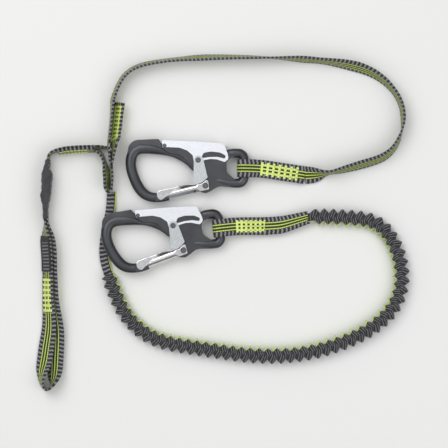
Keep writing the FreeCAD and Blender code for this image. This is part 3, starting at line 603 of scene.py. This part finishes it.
strop_seam = lay(seam("strop_seam", rows), strop_line, strop_across)
strop_seam.data.materials.append(thread)
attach(strop_seam, "webbing")
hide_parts("strop_stitching")

# ---------------------------------------------------------------- overload fold and sleeve
# Inside the sleeve the strop is folded back on itself twice and held by rip stitches,
# which tear in a hard fall. The sleeve is plain sewn cloth, open at both ends.
line, across = stand(follow([
    (0.0032, 0.2239, 0), (0.0032, 0.1870, 0), (0.0020, 0.1852, 0), (0.0004, 0.1870, 0),
    (0.0004, 0.2100, 0), (-0.0009, 0.2118, 0), (-0.0023, 0.2100, 0), (-0.0023, 0.1920, 0),
    (-0.0009, 0.1760, 0), (-0.0009, 0.1690, 0)]), [(0, 0), (1, 0)], lift=0.0009)
overload_fold = lay(strap("overload_fold", distances(line)[-1]), line, across)
overload_fold.data.materials.append(webbing)
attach(overload_fold, "webbing")
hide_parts("overload_fold_webbing")

SLEEVE_LENGTH = 0.0606
SLEEVE_GIRTH = 0.052
SLEEVE_MIDDLE = 0.0099
SLEEVE_HALF_HEIGHT = 0.0098
SLEEVE_SIDES = [
    # along y, left edge, right edge
    (0.2246, -0.0001, 0.0046), (0.2222, -0.0006, 0.0046), (0.2188, -0.0014, 0.0044),
    (0.2160, -0.0022, 0.0040), (0.2142, -0.0030, 0.0048), (0.2123, -0.0036, 0.0058),
    (0.2093, -0.0041, 0.0071), (0.2058, -0.0044, 0.0066), (0.1993, -0.0042, 0.0060),
    (0.1941, -0.0043, 0.0056), (0.1902, -0.0051, 0.0052), (0.1875, -0.0057, 0.0049),
    (0.1843, -0.0048, 0.0042), (0.1798, -0.0036, 0.0031), (0.1759, -0.0030, 0.0025),
    (0.1713, -0.0028, 0.0022), (0.1640, -0.0028, 0.0024),
]
bpy.ops.mesh.primitive_grid_add(x_subdivisions=120, y_subdivisions=72, size=1)
sleeve = bpy.context.object
sleeve.name = "overload_sleeve_cloth"
sleeve.data.name = "overload_sleeve_cloth"
places, lefts, rights = (np.array(column)[::-1] for column in zip(*SLEEVE_SIDES))
uv = sleeve.data.uv_layers.active.data
for loop in sleeve.data.loops:
    co = sleeve.data.vertices[loop.vertex_index].co
    uv[loop.index].uv = ((co.x + 0.5) * SLEEVE_LENGTH, (co.y + 0.5) * SLEEVE_GIRTH)
for vertex in sleeve.data.vertices:
    y = places[0] + (vertex.co.x + 0.5) * (places[-1] - places[0])
    angle = (vertex.co.y + 0.5) * 2 * math.pi
    left, right = np.interp(y, places, lefts), np.interp(y, places, rights)
    c, s = math.cos(angle), math.sin(angle)
    crease = 0.00022 * math.sin(y * 900 + 2.4 * s) + 0.00016 * math.sin(y * 2100 - 3.1 * s + 1)
    half = (right - left) / 2 + crease
    vertex.co = ((left + right) / 2 + half * math.copysign(abs(c) ** 0.55, c), y,
                 SLEEVE_MIDDLE + SLEEVE_HALF_HEIGHT * math.copysign(abs(s) ** 0.42, s))
bpy.ops.object.mode_set(mode="EDIT")
bpy.ops.mesh.select_all(action="SELECT")
bpy.ops.mesh.remove_doubles(threshold=MERGE)
bpy.ops.mesh.normals_make_consistent(inside=False)
bpy.ops.object.mode_set(mode="OBJECT")
wall = sleeve.modifiers.new("wall", "SOLIDIFY")
wall.thickness = 0.0005
wall.offset = -1
bpy.ops.object.modifier_apply(modifier=wall.name)
bpy.ops.object.shade_smooth()

# Coated nylon pack cloth: a matt plain weave in checks of about 0.6 mm, slightly mottled.
cloth, shader = new_finish("coated_nylon_cloth")
weave_place = add(cloth, "ShaderNodeUVMap", uv_map="UVMap").outputs["UV"]
checks = add(cloth, "ShaderNodeTexChecker", {"Vector": weave_place, "Scale": 1600}).outputs["Fac"]
mottle = add(cloth, "ShaderNodeTexNoise", {
    "Vector": add(cloth, "ShaderNodeTexCoord").outputs["Object"],
    "Scale": 160, "Detail": 5}).outputs["Fac"]
height = add(cloth, "ShaderNodeMath", {0: checks, 1: 0.4, 2: mottle},
             operation="MULTIPLY_ADD").outputs[0]
tone = ramp(cloth, height, [(0.25, "#252427"), (0.62, "#39383B"), (1.0, "#4C4A4E")], "LINEAR")
cloth.node_tree.links.new(tone, shader.inputs["Base Color"])
bump = add(cloth, "ShaderNodeBump", {"Height": height, "Strength": 0.45, "Distance": 0.0005})
cloth.node_tree.links.new(bump.outputs["Normal"], shader.inputs["Normal"])
shader.inputs["Roughness"].default_value = 0.85
shader.inputs["Sheen Weight"].default_value = 0.2
sleeve.data.materials.append(cloth)
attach(sleeve, "webbing")
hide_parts("overload_sleeve")

# ---------------------------------------------------------------- harness loop
# The long loop that is hitched to the harness: one strap from the sleeve, down and round
# and back, leaning over so that its left strand lies partly on its right one.
LOOP_POINTS = [
    (-0.0012, 0.1700, 0), (-0.0011, 0.1635, 0), (-0.0006, 0.1580, 0), (-0.0002, 0.1510, 0),
    (0.0002, 0.1400, 0), (0.0018, 0.1200, 0), (0.0016, 0.0980, 0), (0.0020, 0.0800, 0),
    (0.0034, 0.0620, 0), (0.0030, 0.0500, 0), (0.0008, 0.0370, 0), (-0.0014, 0.0215, 0),
    (-0.0034, 0.0112, 0), (-0.0048, 0.0030, 0), (-0.0042, -0.0058, 0), (0.0000, -0.0110, 0),
    (0.0046, -0.0084, 0), (0.0082, -0.0008, 0), (0.0092, 0.0080, 0), (0.0094, 0.0200, 0),
    (0.0101, 0.0350, 0), (0.0106, 0.0500, 0), (0.0094, 0.0640, 0), (0.0074, 0.0780, 0),
    (0.0068, 0.0950, 0), (0.0060, 0.1130, 0), (0.0060, 0.1310, 0), (0.0047, 0.1443, 0),
    (0.0031, 0.1520, 0), (0.0018, 0.1590, 0), (0.0014, 0.1640, 0), (0.0014, 0.1700, 0),
]
LOOP_LEANS = [
    (0.0, 0), (0.02, 2), (0.035, 10), (0.055, 24), (0.075, 36), (0.165, 37), (0.24, 40),
    (0.29, 50), (0.33, 58), (0.39, 64), (0.425, 56), (0.455, 28), (0.485, 8), (0.505, 0),
    (0.52, -14), (0.545, -48), (0.575, -64), (0.63, -68), (0.68, -60), (0.72, -48),
    (0.77, -38), (0.86, -36), (0.925, -34), (0.95, -22), (0.97, -8), (0.985, -2), (1.0, 0),
]
loop_line, loop_across = stand(follow(LOOP_POINTS), LOOP_LEANS)
loop_length = distances(loop_line)[-1]
harness_strap = lay(strap("harness_loop", loop_length), loop_line, loop_across)
harness_strap.data.materials.append(webbing)
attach(harness_strap, "webbing")
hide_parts("harness_loop_webbing")
TACK_PITCH = 0.0052
rows = []
for count in range(7):
    rows.append((0.0680 + TACK_PITCH * count, 0, 0.0023, 0.0130, 0.0014))
    rows.append((loop_length - 0.0665 - TACK_PITCH * count, 0, 0.0023, 0.0130, 0.0014))
for y in (-0.0028, 0.0028):
    rows.append((0.0836, y, 0.0338, 0.0013, 0.0014))
    rows.append((loop_length - 0.0821, y, 0.0338, 0.0013, 0.0014))
loop_tack = lay(seam("harness_tack", rows), loop_line, loop_across)
loop_tack.data.materials.append(thread)
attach(loop_tack, "webbing")
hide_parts("harness_loop_tack")

# A woven polyester label lies along one face of the loop's left strand. Its print is
# only blank bars.
LABEL_START = 0.0236
LINE_PITCH = 0.0034
tag = strap("label", 0.036, 0.0176, 0.0006)
tag.data.transform(Matrix.Translation((LABEL_START, 0, 0.0016)))
lay(tag, loop_line, loop_across)
printed, shader = new_finish("woven_label")
place = add(printed, "ShaderNodeSeparateXYZ",
            {"Vector": add(printed, "ShaderNodeUVMap", uv_map="UVMap").outputs["UV"]})
line_wave = add(printed, "ShaderNodeMath", {0: place.outputs["X"], 1: 1 / LINE_PITCH},
                operation="MULTIPLY").outputs[0]
line_wave = add(printed, "ShaderNodeMath", {0: line_wave}, operation="FRACT").outputs[0]
bar = add(printed, "ShaderNodeMath", {0: line_wave, 1: 0.62}, operation="GREATER_THAN").outputs[0]
reach = add(printed, "ShaderNodeMath", {0: place.outputs["Y"]}, operation="ABSOLUTE").outputs[0]
inside = add(printed, "ShaderNodeMath", {0: reach, 1: 0.0058}, operation="LESS_THAN").outputs[0]
from_top = add(printed, "ShaderNodeMath", {0: place.outputs["X"], 1: 0.006},
               operation="GREATER_THAN").outputs[0]
bar = add(printed, "ShaderNodeMath", {0: bar, 1: inside}, operation="MULTIPLY").outputs[0]
bar = add(printed, "ShaderNodeMath", {0: bar, 1: from_top}, operation="MULTIPLY").outputs[0]
rough = add(printed, "ShaderNodeTexNoise", {
    "Vector": add(printed, "ShaderNodeTexCoord").outputs["Object"],
    "Scale": 900, "Detail": 3}).outputs["Fac"]
ground = ramp(printed, rough, [(0.3, "#17171A"), (0.7, "#2A2A2E")], "LINEAR")
ink = add(printed, "ShaderNodeMix", {"Factor": bar, "A": ground, "B": linear("#77787C")},
          data_type="RGBA")
printed.node_tree.links.new(ink.outputs["Result"], shader.inputs["Base Color"])
bump = add(printed, "ShaderNodeBump", {"Height": rough, "Strength": 0.4, "Distance": 0.0003})
printed.node_tree.links.new(bump.outputs["Normal"], shader.inputs["Normal"])
shader.inputs["Roughness"].default_value = 0.6
tag.data.materials.append(printed)
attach(tag, "webbing")
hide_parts("information_label")

# Rip stitches: waxed polyester thread, out of sight in the sleeve, dull with a fine fleck.
waxed, shader = new_finish("waxed_polyester_thread")
fleck = add(waxed, "ShaderNodeTexNoise", {
    "Vector": add(waxed, "ShaderNodeTexCoord").outputs["Object"],
    "Scale": 1800, "Detail": 3}).outputs["Fac"]
tone = ramp(waxed, fleck, [(0.3, "#C4DA5C"), (0.7, "#EAFC88")], "LINEAR")
waxed.node_tree.links.new(tone, shader.inputs["Base Color"])
bump = add(waxed, "ShaderNodeBump", {"Height": fleck, "Strength": 0.5, "Distance": 0.0002})
waxed.node_tree.links.new(bump.outputs["Normal"], shader.inputs["Normal"])
shader.inputs["Roughness"].default_value = 0.55
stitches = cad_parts["overload_fold_stitching"]
stitches.data.materials.clear()
stitches.data.materials.append(waxed)

# ---------------------------------------------------------------- hook bodies
# Each hook is one aluminium forging, bead blasted and anodised charcoal: a satin metal,
# slightly uneven in tone, whose rounded back catches the light.
forging, shader = new_finish("anodised_forged_aluminium")
blast = add(forging, "ShaderNodeTexNoise", {
    "Vector": add(forging, "ShaderNodeTexCoord").outputs["Object"],
    "Scale": 2200, "Detail": 3}).outputs["Fac"]
cloudy = add(forging, "ShaderNodeTexNoise", {
    "Vector": add(forging, "ShaderNodeTexCoord").outputs["Object"],
    "Scale": 55, "Detail": 2}).outputs["Fac"]
tone = ramp(forging, cloudy, [(0.3, "#45464A"), (0.7, "#505155")], "LINEAR")
forging.node_tree.links.new(tone, shader.inputs["Base Color"])
bump = add(forging, "ShaderNodeBump", {"Height": blast, "Strength": 0.25, "Distance": 0.0001})
forging.node_tree.links.new(bump.outputs["Normal"], shader.inputs["Normal"])
shader.inputs["Metallic"].default_value = 0.8
shader.inputs["Roughness"].default_value = 0.36

# ---------------------------------------------------------------- gates, levers and plates
# Gates are polished stainless strip and levers the same strip left satin from the tumbler.
# Lock plates are brushed, pins are cold-headed steel and springs are drawn wire.
polished, shader = new_finish("polished_stainless_steel")
swirl = add(polished, "ShaderNodeTexNoise", {
    "Vector": add(polished, "ShaderNodeTexCoord").outputs["Object"],
    "Scale": 260, "Detail": 3}).outputs["Fac"]
tone = ramp(polished, swirl, [(0.3, "#CFCFD2"), (0.7, "#E2E2E4")], "LINEAR")
polished.node_tree.links.new(tone, shader.inputs["Base Color"])
bump = add(polished, "ShaderNodeBump", {"Height": swirl, "Strength": 0.03, "Distance": 0.0003})
polished.node_tree.links.new(bump.outputs["Normal"], shader.inputs["Normal"])
shader.inputs["Metallic"].default_value = 1.0
shader.inputs["Roughness"].default_value = 0.14

satin, shader = new_finish("tumbled_stainless_steel")
specks = add(satin, "ShaderNodeTexNoise", {
    "Vector": add(satin, "ShaderNodeTexCoord").outputs["Object"],
    "Scale": 1200, "Detail": 3}).outputs["Fac"]
tone = ramp(satin, specks, [(0.3, "#D4D7DE"), (0.7, "#E9EBF0")], "LINEAR")
satin.node_tree.links.new(tone, shader.inputs["Base Color"])
bump = add(satin, "ShaderNodeBump", {"Height": specks, "Strength": 0.2, "Distance": 0.0002})
satin.node_tree.links.new(bump.outputs["Normal"], shader.inputs["Normal"])
shader.inputs["Metallic"].default_value = 0.9
shader.inputs["Roughness"].default_value = 0.36

# Lock plates are brushed lengthwise: greyer than the lever, with fine bright lines.
brushed, shader = new_finish("brushed_stainless_steel")
grain_place = add(brushed, "ShaderNodeMapping", {
    "Vector": add(brushed, "ShaderNodeTexCoord").outputs["Object"],
    "Scale": (2600, 260, 260)}).outputs["Vector"]
strokes = add(brushed, "ShaderNodeTexNoise", {
    "Vector": grain_place, "Scale": 1, "Detail": 3}).outputs["Fac"]
tone = ramp(brushed, strokes, [(0.3, "#AEB3B7"), (0.7, "#D8DCDF")], "LINEAR")
brushed.node_tree.links.new(tone, shader.inputs["Base Color"])
bump = add(brushed, "ShaderNodeBump", {"Height": strokes, "Strength": 0.25, "Distance": 0.0002})
brushed.node_tree.links.new(bump.outputs["Normal"], shader.inputs["Normal"])
shader.inputs["Metallic"].default_value = 1.0
shader.inputs["Roughness"].default_value = 0.3

headed, shader = new_finish("cold_headed_steel")
scuffs = add(headed, "ShaderNodeTexNoise", {
    "Vector": add(headed, "ShaderNodeTexCoord").outputs["Object"],
    "Scale": 1500, "Detail": 4}).outputs["Fac"]
tone = ramp(headed, scuffs, [(0.3, "#4C4C4F"), (0.7, "#77777A")], "LINEAR")
headed.node_tree.links.new(tone, shader.inputs["Base Color"])
bump = add(headed, "ShaderNodeBump", {"Height": scuffs, "Strength": 0.35, "Distance": 0.0002})
headed.node_tree.links.new(bump.outputs["Normal"], shader.inputs["Normal"])
shader.inputs["Metallic"].default_value = 1.0
shader.inputs["Roughness"].default_value = 0.38

wire, shader = new_finish("drawn_spring_wire")
drawn = add(wire, "ShaderNodeTexNoise", {
    "Vector": add(wire, "ShaderNodeTexCoord").outputs["Object"],
    "Scale": 2500, "Detail": 2}).outputs["Fac"]
tone = ramp(wire, drawn, [(0.3, "#7C7D80"), (0.7, "#A6A7AA")], "LINEAR")
wire.node_tree.links.new(tone, shader.inputs["Base Color"])
shader.inputs["Metallic"].default_value = 1.0
shader.inputs["Roughness"].default_value = 0.3

HOOK_FINISHES = {
    "hook_body": forging, "hook_gate": polished, "hook_lever": satin,
    "hook_front_lock_plate": brushed, "hook_rear_lock_plate": brushed,
    "hook_gate_rivet": headed, "hook_lever_pin": headed, "hook_lock_rivet": headed,
    "hook_gate_spring": wire, "hook_lever_spring": wire,
}
for leg in HOOK_STRAPS:
    for piece, finish in HOOK_FINISHES.items():
        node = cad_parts[leg + "_" + piece]
        node.data.materials.clear()
        node.data.materials.append(finish)

# The gate is pressed from polished strip: a flat chisel tip, then a rounded back with a
# diagonal shoulder between the two, and flat ears at the pivot.
HOOK_TILTS = {"straight": 0.0, "elastic": 1.3}
TIP_CENTRE = Vector((-0.0849, -0.0282, 0))
GATE_AXIS = Vector((0.972, 0.233, 0))
GATE_ACROSS = Vector((-0.233, 0.972, 0))
GATE_HALF = 0.0047
SHOULDER_START = 0.0094
SHOULDER_SLOPE = 2.31
SHOULDER_BLEND = 0.002
EARS_START = 0.036
EARS_BLEND = 0.004
VOXEL = 0.0003


def ease(value):
    value = min(1.0, max(0.0, value))
    return value * value * (3 - 2 * value)


for leg, (eye, turn, *rest) in HOOK_STRAPS.items():
    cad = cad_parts[leg + "_hook_gate"]
    gate = bpy.data.objects.new(leg + "_pressed_gate", cad.data.copy())
    bpy.context.scene.collection.objects.link(gate)
    bpy.ops.object.select_all(action="DESELECT")
    gate.select_set(True)
    bpy.context.view_layer.objects.active = gate
    bpy.ops.object.mode_set(mode="EDIT")
    bpy.ops.mesh.select_all(action="SELECT")
    bpy.ops.mesh.remove_doubles(threshold=MERGE)
    bpy.ops.object.mode_set(mode="OBJECT")
    skin = gate.modifiers.new("skin", "REMESH")
    skin.mode = "VOXEL"
    skin.voxel_size = VOXEL
    bpy.ops.object.modifier_apply(modifier=skin.name)
    polish = gate.modifiers.new("polish", "SMOOTH")
    polish.iterations = 5
    bpy.ops.object.modifier_apply(modifier=polish.name)
    hook = (Matrix.Translation((*eye, HOOK_MIDDLE)) @ Matrix.Rotation(math.radians(turn), 4, "Z")
            @ Matrix.Rotation(math.radians(HOOK_TILTS[leg]), 4, "Y"))
    back = hook.inverted()
    for vertex in gate.data.vertices:
        place = back @ vertex.co
        from_tip = place - TIP_CENTRE
        u, v = from_tip.dot(GATE_AXIS), from_tip.dot(GATE_ACROSS)
        past_shoulder = ease((u - (SHOULDER_START + SHOULDER_SLOPE * v)) / SHOULDER_BLEND)
        rounded = past_shoulder * (1 - ease((u - EARS_START) / EARS_BLEND))
        place.z *= 1 - rounded * 0.68 * min(1.0, (v / GATE_HALF) ** 2) - 0.04 * rounded
        vertex.co = hook @ place
    bpy.ops.object.shade_smooth()
    gate.data.materials.clear()
    gate.data.materials.append(polished)
    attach(gate, leg + "_hook_gate")
    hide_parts(leg + "_hook_gate")

# The lever's coil spring stands on the body.
for leg, (eye, turn, *rest) in HOOK_STRAPS.items():
    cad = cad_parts[leg + "_hook_lever_spring"]
    coil = bpy.data.objects.new(leg + "_lever_coil", cad.data.copy())
    bpy.context.scene.collection.objects.link(coil)
    hook = (Matrix.Rotation(math.radians(turn), 3, "Z")
            @ Matrix.Rotation(math.radians(HOOK_TILTS[leg]), 3, "Y"))
    upwards = hook @ Vector((0, 1, 0))
    spots = [vertex.co for vertex in coil.data.vertices]
    foot = min(spots, key=lambda spot: spot.dot(upwards))
    height = max(spot.dot(upwards) for spot in spots) - foot.dot(upwards)
    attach(coil, leg + "_hook")
    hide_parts(leg + "_hook_lever_spring")
    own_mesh(coil)

# ---------------------------------------------------------------- table and light
# A pale table under two wide softboxes, a key and a weaker fill on the other side. The
# surround is white above and grey-brown towards the table.
TABLE_MIDDLE = Vector((0.18, 0.16, 0))
SOFTBOXES = {
    # place, width, energy
    "key_softbox": ((-0.5, 0.9, 1.6), 1.2, 14),
    "fill_softbox": ((1.2, -0.4, 1.5), 1.4, 7),
}
bpy.ops.mesh.primitive_plane_add(size=6, location=(0.18, 0.16, -0.0005))
table = bpy.context.object
table.name = "table"
paper, shader = new_finish("pale_table")
shader.inputs["Base Color"].default_value = linear("#EAEAEA")
shader.inputs["Roughness"].default_value = 0.9
shader.inputs["Specular IOR Level"].default_value = 0.1
table.data.materials.append(paper)

softboxes = []
for name, (location, width, energy) in SOFTBOXES.items():
    bpy.ops.object.light_add(type="AREA", location=location)
    softbox = bpy.context.object
    softbox.name = name
    softbox.data.shape = "RECTANGLE"
    softbox.data.size = width
    softbox.data.size_y = width
    softbox.data.energy = energy
    aim = TABLE_MIDDLE - softbox.location
    softbox.rotation_euler = aim.to_track_quat("-Z", "Y").to_euler()
    softboxes.append(softbox)
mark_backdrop(table, *softboxes)

world = bpy.data.worlds.new("studio")
bpy.context.scene.world = world
world.use_nodes = True
up = world.node_tree.nodes.new("ShaderNodeSeparateXYZ")
around = world.node_tree.nodes.new("ShaderNodeTexCoord")
sky = world.node_tree.nodes.new("ShaderNodeValToRGB")
world.node_tree.links.new(around.outputs["Generated"], up.inputs["Vector"])
world.node_tree.links.new(up.outputs["Z"], sky.inputs["Fac"])
world.node_tree.links.new(sky.outputs["Color"], world.node_tree.nodes["Background"].inputs["Color"])
sky.color_ramp.elements[0].position = 0.05
sky.color_ramp.elements[0].color = linear("#6E665C")
sky.color_ramp.elements[1].position = 0.75
sky.color_ramp.elements[1].color = linear("#FFFFFF")
world.node_tree.nodes["Background"].inputs["Strength"].default_value = 0.74
bpy.context.scene.view_settings.view_transform = "Standard"

# ---------------------------------------------------------------- bounds
low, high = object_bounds()
